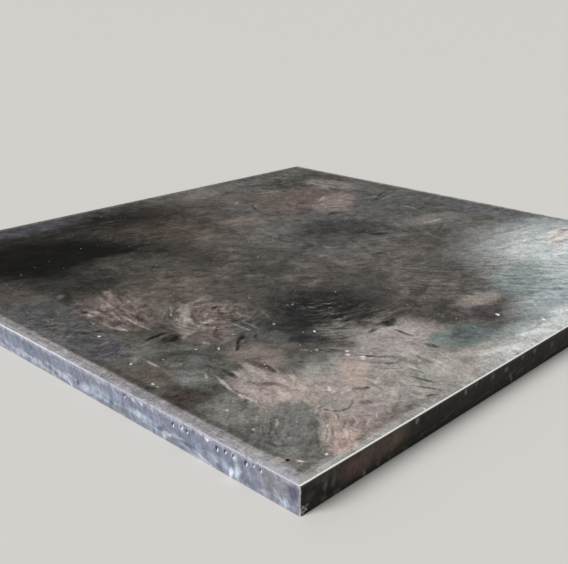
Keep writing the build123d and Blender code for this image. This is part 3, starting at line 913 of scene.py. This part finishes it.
def mill_scale(finish, shape):
    """Worn mill scale on the rolled top, with rust bloom and wiped swirls.

    It gives the eye a dark blue-brown skin, half matt, cloudy, and paler where it is rubbed, with
    painted shade where a truck and its tyres shaded it and a painted sheen toward the right of
    the near side.
    """
    material, tree = new_material("worn_mill_scale")
    point = add(tree, "TexCoord", out=3)
    bent = warped(tree, warped(tree, point, 14.0, 0.005), 80.0, 0.004, 4.0)
    ragged = warped(tree, warped(tree, point, 10.0, 0.022), 40.0, 0.024, 5.0)

    # Clouds 220 mm and 50 mm across, and a grain that is drawn as coarse as it needs to show.
    clouds = add(tree, "TexNoise", ragged, named={"Scale": 4.5, "Detail": 6.0, "Roughness": 0.62})
    mottle = add(tree, "TexNoise", point,
                 named={"Scale": 24.0, "Detail": 7.0, "Roughness": 0.72, "Distortion": 1.6})
    grain = add(tree, "TexNoise", point, named={"Scale": 170.0, "Detail": 3.0, "Roughness": 0.75})
    broken = add(tree, "TexNoise", bent, named={"Scale": 75.0, "Detail": 4.0, "Roughness": 0.65})
    hue = add(tree, "TexNoise", bent, out=1,
              named={"Scale": 13.0, "Detail": 5.0, "Roughness": 0.65, "Distortion": 0.8})
    cloudy = add(tree, "MapRange", clouds, 0.38, 0.66, clamp=False, **GENTLE)
    dark, middling = tuple(finish.scale_dark), tuple(finish.scale_mid)
    colour = add(tree, "Mix", cloudy, named={6: dark, 7: middling}, **LAID)
    colour = stained(tree, ragged, colour, SCALE_SHADE_AND_SHEEN)
    # Smeared blotches 50 mm across, darker and paler than what they lie on.
    blotch = add(tree, "TexNoise", ragged,
                 named={"Scale": 20.0, "Detail": 5.0, "Roughness": 0.6, "Distortion": 1.2})
    blotch = add(tree, "MapRange", blotch, 0.36, 0.64, clamp=False)
    blotch = add(tree, "Mix", blotch, named={6: grey(0.66), 7: grey(1.34)}, **LAID)
    colour = add(tree, "Mix", 1.0, named={6: colour, 7: blotch}, **TIMES)
    colour = stained(tree, ragged, colour, BLOOM_AND_SHEEN)

    # Marks are broken up where the scale is uneven.
    whole = add(tree, "MapRange", broken, 0.34, 0.52, 0.55, 1.0)
    marked = stained(tree, bent, colour, MARKS)
    colour = add(tree, "Mix", whole, named={6: colour, 7: marked}, **LAID)
    colour = stained(tree, bent, colour, FLECKS)

    # Wiped streaks lighten and darken what they cross, and the strongest show as fine lines.
    swayed = warped(tree, warped(tree, point, 7.0, 0.030), 38.0, 0.010, 4.0)
    streak = None
    for middle, area, size, turn, spacing, sweep, contrast in WIPES:
        fresh = wiped(tree, swayed, middle, area, spacing, sweep)
        fresh = add(tree, "MapRange", fresh, 0.28, 0.72, 0.5 - contrast, 0.5 + contrast)
        if streak:
            mask = stain(tree, ragged, *area, *size, turn, 0.45)
            fresh = add(tree, "Mix", mask, named={2: streak, 3: fresh})
        streak = fresh
    # The streaks fade out in patches 100 mm across.
    faded = add(tree, "TexNoise", bent, named={"Scale": 9.0, "Detail": 3.0, "Roughness": 0.5})
    faded = add(tree, "MapRange", faded, 0.40, 0.60, 0.35, 1.15)
    streak = add(tree, "Mix", faded, named={2: 0.5, 3: streak}, clamp_factor=False)
    shade = add(tree, "Mix", streak, named={6: grey(0.0), 7: grey(1.0)}, **LAID)
    shade = add(tree, "Mix", 1.0, named={6: shade, 7: grey(2.0)}, **TIMES)
    colour = add(tree, "Mix", 1.0, named={6: colour, 7: shade}, **TIMES)
    uneven = add(tree, "MapRange", broken, 0.40, 0.58)
    line = add(tree, "MapRange", streak, 0.68, 0.80, 0.0, 0.4)
    line = add(tree, "Math", line, uneven, operation="MULTIPLY")
    colour = add(tree, "Mix", line, named={6: colour, 7: linear("#a79c94")}, **LAID)
    line = add(tree, "MapRange", streak, 0.34, 0.24, 0.0, 0.7)
    line = add(tree, "Math", line, uneven, operation="MULTIPLY")
    colour = add(tree, "Mix", line, named={6: colour, 7: linear("#2a2724")}, **LAID)

    colour = stained(tree, point, colour, HOLES)

    # Rubbed bands beside the cuts: the distance from each edge gives where they end.
    split = add(tree, "SeparateXYZ", point).node.outputs
    half_x, half_y = shape.length / 2, shape.width / 2
    edges = {
        "left": add(tree, "Math", split[0], half_x, operation="ADD"),
        "near": add(tree, "Math", split[1], half_y, operation="ADD"),
        "right": add(tree, "Math", half_x, split[0], operation="SUBTRACT"),
        "far": add(tree, "Math", half_y, split[1], operation="SUBTRACT"),
    }
    patch = add(tree, "MapRange", mottle, 0.25, 0.6, 0.6, 1.0)
    lengthwise = {}
    for side, squeeze in (("near", (10.0, 260.0, 1.0)), ("left", (260.0, 10.0, 1.0))):
        drawn = add(tree, "VectorMath", point, squeeze, operation="MULTIPLY")
        lines = add(tree, "TexNoise", drawn, noise_dimensions="2D",
                    named={"Scale": 1.0, "Detail": 4.0, "Roughness": 0.65})
        lines = add(tree, "MapRange", lines, 0.3, 0.7)
        lengthwise[side] = add(tree, "Mix", lines, named={6: grey(0.72), 7: grey(1.28)}, **LAID)
    lengthwise["far"], lengthwise["right"] = lengthwise["near"], lengthwise["left"]
    for side, reach, full, strength, tone in BANDS:
        mask = add(tree, "MapRange", edges[side], reach * MM, full * MM, 0.0, strength, **GENTLE)
        mask = add(tree, "Math", mask, patch, operation="MULTIPLY")
        rubbed = add(tree, "Mix", 1.0, named={6: lengthwise[side], 7: linear(tone)}, **TIMES)
        colour = add(tree, "Mix", mask, named={6: colour, 7: rubbed}, **LIGHTER)

    # Mottling in tone and, more weakly, in hue.
    tone = add(tree, "Math", grain, 0.9, operation="MULTIPLY")
    tone = add(tree, "Math", mottle, 1.0, tone, operation="MULTIPLY_ADD")
    speckle = add(tree, "MapRange", tone, 0.66, 1.24)
    speckle = add(tree, "Mix", speckle, named={6: grey(0.45), 7: grey(1.55)}, **LAID)
    colour = add(tree, "Mix", 1.0, named={6: colour, 7: speckle}, **TIMES)
    colour = add(tree, "Mix", 0.06, named={6: colour, 7: hue}, blend_type="OVERLAY", **LAID)

    # The near line is a painted highlight along the rubbed edge.
    for side, reach, full, strength, tone in EDGE_LINES_AND_HIGHLIGHT:
        mask = add(tree, "MapRange", edges[side], reach * MM, full * MM, 0.0, strength)
        colour = add(tree, "Mix", mask, named={6: colour, 7: linear(tone)}, **LIGHTER)

    # Specks of spatter 3 mm across, one in every second cell 60 mm wide.
    cells = add(tree, "TexVoronoi", point, named={"Scale": 17.0}, voronoi_dimensions="2D").node
    chosen = add(tree, "SeparateColor", cells.outputs["Color"])
    size = add(tree, "MapRange", chosen, 0.5, 1.0, 0.0, 0.030)
    speck = add(tree, "Math", size, cells.outputs["Distance"], operation="SUBTRACT")
    speck = add(tree, "MapRange", speck, 0.0, 0.006, 0.0, 1.0)
    colour = add(tree, "Mix", speck, named={6: colour, 7: linear("#d8d5cf")}, **LAID)

    relief = add(tree, "Math", grain, 0.25, mottle, operation="MULTIPLY_ADD")
    relief = add(tree, "Math", speck, 0.8, relief, operation="MULTIPLY_ADD")
    bump = add(tree, "Bump", 0.7, 0.0008, named={"Height": relief})
    rough = add(tree, "MapRange", mottle, 0.3, 0.7, 0.5, 0.66)
    # Darker parts, soot and painted shade alike, are matt; paler ones shine a little.
    gloss = add(tree, "MapRange", colour, 0.01, 0.25, 0.02, 0.3)
    surface = add(
        tree, "BsdfPrincipled",
        named={"Base Color": colour, "Metallic": 0.0, "Roughness": rough, "Normal": bump,
               "Specular IOR Level": gloss},
    )
    add(tree, "OutputMaterial", surface)
    return material


def arris_wear_and_highlight(finish, shape):
    """Bare steel of the melted upper arris, rubbed bright.

    It gives the eye a thin pale line along each edge, which is partly a painted highlight, and
    painted shade along the left edge.
    """
    material, tree = new_material("burnished_arris_steel")
    point = add(tree, "TexCoord", out=3)
    patch = add(tree, "TexNoise", point, named={"Scale": 60.0, "Detail": 5.0, "Roughness": 0.6})
    worn = add(tree, "MapRange", patch, 0.28, 0.5, **GENTLE)
    colour = add(tree, "Mix", worn, named={6: linear("#b9b9ba"), 7: tuple(finish.arris)}, **LAID)
    # The left edge is painted greyer as shade, most of all in its near half; its far part stays
    # paler as a painted highlight.
    split = add(tree, "SeparateXYZ", point).node.outputs
    half_x, half_y, top = shape.length / 2, shape.width / 2, shape.thickness
    left = add(tree, "MapRange", split[0], 0.008 - half_x, 0.004 - half_x)
    near = add(tree, "MapRange", split[1], -0.10, -0.30, 0.5, 0.9)
    left = add(tree, "Math", left, near, operation="MULTIPLY")
    painted_shade_grey = add(tree, "Mix", worn, named={6: linear("#6b6a73"), 7: linear("#a3a2ae")}, **LAID)
    colour = add(tree, "Mix", left, named={6: colour, 7: painted_shade_grey}, **LAID)
    # The near edge is rubbed white on top, where the white is also a painted highlight, and dark
    # where it turns down, soot with painted shade.
    front = add(tree, "MapRange", split[1], 0.005 - half_y, 0.0035 - half_y)
    turned = add(tree, "MapRange", split[2], top - 0.0018, top - 0.0025)
    edge = add(tree, "Mix", turned, named={6: linear("#fdfcfa"), 7: linear("#5a5853")}, **LAID)
    colour = add(tree, "Mix", front, named={6: colour, 7: edge}, **LAID)
    bump = add(tree, "Bump", 0.4, 0.0003, named={"Height": patch})
    surface = add(
        tree, "BsdfPrincipled",
        named={"Base Color": colour, "Metallic": 0.2, "Roughness": 0.4, "Normal": bump},
    )
    add(tree, "OutputMaterial", surface)
    return material


def flame_cut(side, shape, base):
    """Steel of one side as the torch cut it.

    It gives the eye near-upright drag lines that trail back, a pale upper band, slanting patches
    and a soft shine, or soot and rust over them, with painted shade where the face is turned from
    the light.
    """
    name, *tones, metallic, gloss, rough = CUT_FINISHES[side]
    dark, pale, patch, lip, wear = (linear(tone) for tone in tones)
    material, tree = new_material(name)
    point = add(tree, "TexCoord", out=3)
    split = add(tree, "SeparateXYZ", point).node.outputs
    length, top = side_length(shape, side), shape.thickness
    place = add(tree, "Math", split[0 if SIDES[side][1].x else 1], length / 2, operation="ADD")
    height = split[2]
    face = add(tree, "CombineXYZ", place, height)
    face = warped(tree, warped(tree, face, 35.0, 0.006), 160.0, 0.002)

    # Each drag line runs straight down and then trails back.
    fall = add(tree, "MapRange", height, top, 0.0)
    fall = add(tree, "Math", fall, 2.0, operation="POWER")
    dragged = add(tree, "Math", fall, shape.drag_lag, place, operation="MULTIPLY_ADD")
    low_height = add(tree, "Math", height, 0.08, operation="MULTIPLY")
    lines_at = add(tree, "CombineXYZ", dragged, low_height)
    # Drag lines 2 mm apart, drawn as 3.5 mm so that they show.
    lines = add(tree, "TexNoise", lines_at,
                named={"Scale": 285.0, "Detail": 3.0, "Roughness": 0.6}, noise_dimensions="2D")
    broad = add(tree, "TexNoise", lines_at,
                named={"Scale": 60.0, "Detail": 3.0, "Roughness": 0.6}, noise_dimensions="2D")
    clouds = add(tree, "TexNoise", point, named={"Scale": 18.0, "Detail": 6.0, "Roughness": 0.65})
    mottle = add(tree, "TexNoise", point,
                 named={"Scale": 90.0, "Detail": 6.0, "Roughness": 0.7, "Distortion": 0.8})

    cloudy = add(tree, "MapRange", clouds, 0.34, 0.66, **GENTLE)
    colour = add(tree, "Mix", cloudy, named={6: dark, 7: base}, **LAID)

    # Slanting patches 60 mm long and 7 mm high in the lower half.
    slant = add(tree, "Math", place, -0.13, height, operation="MULTIPLY_ADD")
    slant = add(tree, "CombineXYZ", add(tree, "Math", place, 0.13, operation="MULTIPLY"), slant)
    slanted = add(tree, "TexNoise", slant, noise_dimensions="2D",
                  named={"Scale": 130.0, "Detail": 4.0, "Roughness": 0.6, "Distortion": 0.5})
    slanted = add(tree, "MapRange", slanted, 0.5, 0.68, **GENTLE)
    lower = add(tree, "MapRange", height, 0.028, 0.014, **GENTLE)
    slanted = add(tree, "Math", slanted, lower, operation="MULTIPLY")
    colour = add(tree, "Mix", slanted, named={6: colour, 7: patch}, **LAID)

    over = add(tree, "Attribute", out=2, attribute_name="above_lip")
    below = add(tree, "MapRange", over, 1.5, -2.5, 0.0, 0.35, **GENTLE)
    colour = add(tree, "Mix", below, named={6: colour, 7: lip}, **LAID)
    upper = add(tree, "Math", mottle, 0.016, height, operation="MULTIPLY_ADD")
    upper = add(tree, "MapRange", upper, top - 0.005, top + 0.005, 0.0, 0.75, **GENTLE)
    colour = add(tree, "Mix", upper, named={6: colour, 7: pale}, **LAID)
    colour = stained(tree, face, colour, CUT_STAINS[side])

    shade = add(tree, "Math", broad, 0.6, operation="MULTIPLY")
    shade = add(tree, "Math", lines, 0.5, shade, operation="MULTIPLY_ADD")
    shade = add(tree, "MapRange", shade, 0.4, 0.72, 0.8, 1.22)
    colour = add(tree, "Mix", 1.0, named={6: colour, 7: shade}, **TIMES)
    speckle = add(tree, "MapRange", mottle, 0.3, 0.7, 0.62, 1.38)
    colour = add(tree, "Mix", 1.0, named={6: colour, 7: speckle}, **TIMES)

    # Gouges are painted darker inside as shade, and their burrs near-white as a painted highlight.
    pit = add(tree, "Attribute", out=2, attribute_name="gouged")
    pit = add(tree, "MapRange", pit, 0.05, 0.45, 0.0, 0.85)
    colour = add(tree, "Mix", pit, named={6: colour, 7: linear("#343642")}, **LAID)
    burr = add(tree, "Attribute", out=2, attribute_name="burred")
    burr = add(tree, "MapRange", burr, 0.1, 0.5, 0.0, 0.9)
    colour = add(tree, "Mix", burr, named={6: colour, 7: linear("#eeeef4")}, **LAID)

    # The upright corners are rubbed bright in a ragged line.
    last = add(tree, "Math", length, place, operation="SUBTRACT")
    corner = add(tree, "Math", place, last, operation="MINIMUM")
    corner = add(tree, "Math", mottle, 0.006, corner, operation="MULTIPLY_ADD")
    corner = add(tree, "MapRange", corner, 0.0068, 0.0045, 0.0, 0.9)
    colour = add(tree, "Mix", corner, named={6: colour, 7: wear}, **LAID)

    relief = add(tree, "Math", lines, 0.7, broad, operation="MULTIPLY_ADD")
    relief = add(tree, "Math", mottle, 1.2, relief, operation="MULTIPLY_ADD")
    bump = add(tree, "Bump", 0.8, 0.0008, named={"Height": relief})
    surface = add(
        tree, "BsdfPrincipled",
        named={"Base Color": colour, "Metallic": metallic, "Roughness": rough, "Normal": bump,
               "Specular IOR Level": gloss},
    )
    add(tree, "OutputMaterial", surface)
    return material


def underside_scale(shape):
    """Plain mill scale of the underside, with rust where it lay on damp ground.

    It gives the eye a dull grey-brown skin with orange-brown rust, long scrapes and a dusty rim.
    """
    material, tree = new_material("underside_mill_scale")
    point = add(tree, "TexCoord", out=3)
    ragged = warped(tree, point, 8.0, 0.05)
    clouds = add(tree, "TexNoise", ragged,
                 named={"Scale": 4.0, "Detail": 9.0, "Roughness": 0.72, "Distortion": 0.6})
    mottle = add(tree, "TexNoise", point, named={"Scale": 70.0, "Detail": 6.0, "Roughness": 0.7})
    worn = add(tree, "MapRange", clouds, 0.30, 0.48, 0.0, 0.9, **GENTLE)
    colour = add(tree, "Mix", worn, named={6: linear("#5c5a58"), 7: linear("#3f3c39")}, **LAID)
    rust = add(tree, "MapRange", clouds, 0.50, 0.66, 0.0, 0.8, **GENTLE)
    colour = add(tree, "Mix", rust, named={6: colour, 7: linear("#6a4a3a")}, **LAID)
    deep = add(tree, "MapRange", clouds, 0.62, 0.70, 0.0, 0.7, **GENTLE)
    colour = add(tree, "Mix", deep, named={6: colour, 7: linear("#8a5c43")}, **LAID)
    # Scrapes from sliding on timber and skids, long in one direction.
    scrapes = add(tree, "TexNoise", point, named={"Scale": 9.0, "Detail": 4.0, "Roughness": 0.6})
    scrapes.node.texture_mapping.scale = (0.12, 9.0, 1.0)
    scrapes.node.texture_mapping.rotation = (0.0, 0.0, math.radians(12))
    scraped = add(tree, "MapRange", scrapes, 0.60, 0.70, 0.0, 0.55)
    colour = add(tree, "Mix", scraped, named={6: colour, 7: linear("#85817c")}, **LAID)
    # Grey dust along the border.
    split = add(tree, "SeparateXYZ", point).node.outputs
    for axis, half in ((0, shape.length / 2), (1, shape.width / 2)):
        distance = add(tree, "Math", split[axis], operation="ABSOLUTE")
        rim = add(tree, "MapRange", distance, half - 0.07, half, 0.0, 0.5)
        colour = add(tree, "Mix", rim, named={6: colour, 7: linear("#77726c")}, **LAID)
    shade = add(tree, "MapRange", mottle, 0.3, 0.7, 0.7, 1.25)
    colour = add(tree, "Mix", 1.0, named={6: colour, 7: shade}, **TIMES)
    bump = add(tree, "Bump", 0.6, 0.0008, named={"Height": mottle})
    surface = add(
        tree, "BsdfPrincipled",
        named={"Base Color": colour, "Metallic": 0.3, "Roughness": 0.6, "Normal": bump},
    )
    add(tree, "OutputMaterial", surface)
    return material


class STEELPLATE_OT_plate(bpy.types.Operator):
    """Model the plate in place of its plain solid and give it its finishes"""

    bl_idname = "steelplate.plate"
    bl_label = "Steel Plate"

    def execute(self, context):
        shape = context.scene.plate_shape
        finish = context.scene.plate_finish
        finishes = [mill_scale(finish, shape), arris_wear_and_highlight(finish, shape)]
        for side in SIDES:
            finishes.append(flame_cut(side, shape, tuple(getattr(finish, side + "_cut"))))
        finishes.append(underside_scale(shape))
        piece = new_object(context.scene, "worn_steel_plate", plate_mesh(shape), finishes)
        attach(piece, "root")
        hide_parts(NODE)
        return {"FINISHED"}


# ---- Stage


class STEELPLATE_OT_stage(bpy.types.Operator):
    """Set up the camera, the pale floor and the soft light"""

    bl_idname = "steelplate.stage"
    bl_label = "Stage"

    def execute(self, context):
        scene = context.scene
        look = scene.plate_stage
        data = bpy.data.cameras.new("studio_camera")
        data.sensor_width = SENSOR_WIDTH
        data.lens = look.focal_pixels / FRAME_WIDTH * SENSOR_WIDTH
        camera = bpy.data.objects.new("studio_camera", data)
        ahead = Vector((
            math.cos(look.heading) * math.cos(look.tilt),
            math.sin(look.heading) * math.cos(look.tilt),
            -math.sin(look.tilt),
        ))
        level = Vector((math.sin(look.heading), -math.cos(look.heading), 0))
        up = level.cross(ahead)
        rolled = level * math.cos(look.roll) + up * math.sin(look.roll)
        upright = up * math.cos(look.roll) - level * math.sin(look.roll)
        turn = Matrix((rolled, upright, -ahead)).transposed().to_4x4()
        place = Vector((look.camera_x, look.camera_y, look.camera_z))
        camera.matrix_world = Matrix.Translation(place) @ turn
        scene.collection.objects.link(camera)
        scene.camera = camera

        bm = bmesh.new()
        bmesh.ops.create_grid(bm, x_segments=1, y_segments=1, size=look.floor_size / 2)
        # Matt pale paint, which gives the eye only the plate's shadow.
        material, tree = new_material("plain_studio_floor")
        surface = add(tree, "BsdfPrincipled", named={
            "Base Color": tuple(look.floor_colour), "Roughness": 0.9, "Specular IOR Level": 0.1,
        })
        add(tree, "OutputMaterial", surface)
        floor = new_object(scene, "studio_floor", bm, [material])

        world = bpy.data.worlds.new("studio_surround")
        world.use_nodes = True
        world.node_tree.nodes.clear()
        glow = add(world.node_tree, "Background", linear("#f4f5f8"), look.sky)
        add(world.node_tree, "OutputWorld", glow)
        scene.world = world

        # One wide light shines from the left, over the middle of the plate.
        data = bpy.data.lights.new("soft_key_light", "SUN")
        data.angle = look.key_spread
        data.energy = look.key
        lamp = bpy.data.objects.new("soft_key_light", data)
        lamp.location = (-7.0, 2.2, 5.6)
        lamp.rotation_euler = lamp.location.to_track_quat("Z", "Y").to_euler()
        scene.collection.objects.link(lamp)
        scene.view_settings.view_transform = "Standard"
        return {"FINISHED"}


class STEELPLATE_PT_panel(bpy.types.Panel):
    """Sizes, finishes and stage of the steel plate"""

    bl_label = "Steel Plate"
    bl_idname = "STEELPLATE_PT_panel"
    bl_space_type = "VIEW_3D"
    bl_region_type = "UI"
    bl_category = "Steel Plate"

    def draw(self, context):
        scene = context.scene
        for title, group, operator in (
            ("Shape", scene.plate_shape, None),
            ("Finish", scene.plate_finish, STEELPLATE_OT_plate),
            ("Stage", scene.plate_stage, STEELPLATE_OT_stage),
        ):
            box = self.layout.box()
            box.label(text=title)
            for name in group.__annotations__:
                box.prop(group, name)
            if operator:
                box.operator(operator.bl_idname)


CLASSES = (
    PlateShape, PlateFinish, StageLook, STEELPLATE_OT_plate, STEELPLATE_OT_stage,
    STEELPLATE_PT_panel,
)


def register():
    for item in CLASSES:
        bpy.utils.register_class(item)
    bpy.types.Scene.plate_shape = bpy.props.PointerProperty(type=PlateShape)
    bpy.types.Scene.plate_finish = bpy.props.PointerProperty(type=PlateFinish)
    bpy.types.Scene.plate_stage = bpy.props.PointerProperty(type=StageLook)


def unregister():
    del bpy.types.Scene.plate_stage
    del bpy.types.Scene.plate_finish
    del bpy.types.Scene.plate_shape
    for item in reversed(CLASSES):
        bpy.utils.unregister_class(item)


def main():
    """Register the add-on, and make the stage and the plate."""
    register()
    bpy.ops.steelplate.stage()
    bpy.ops.steelplate.plate()


if __name__ == "__main__":
    main()
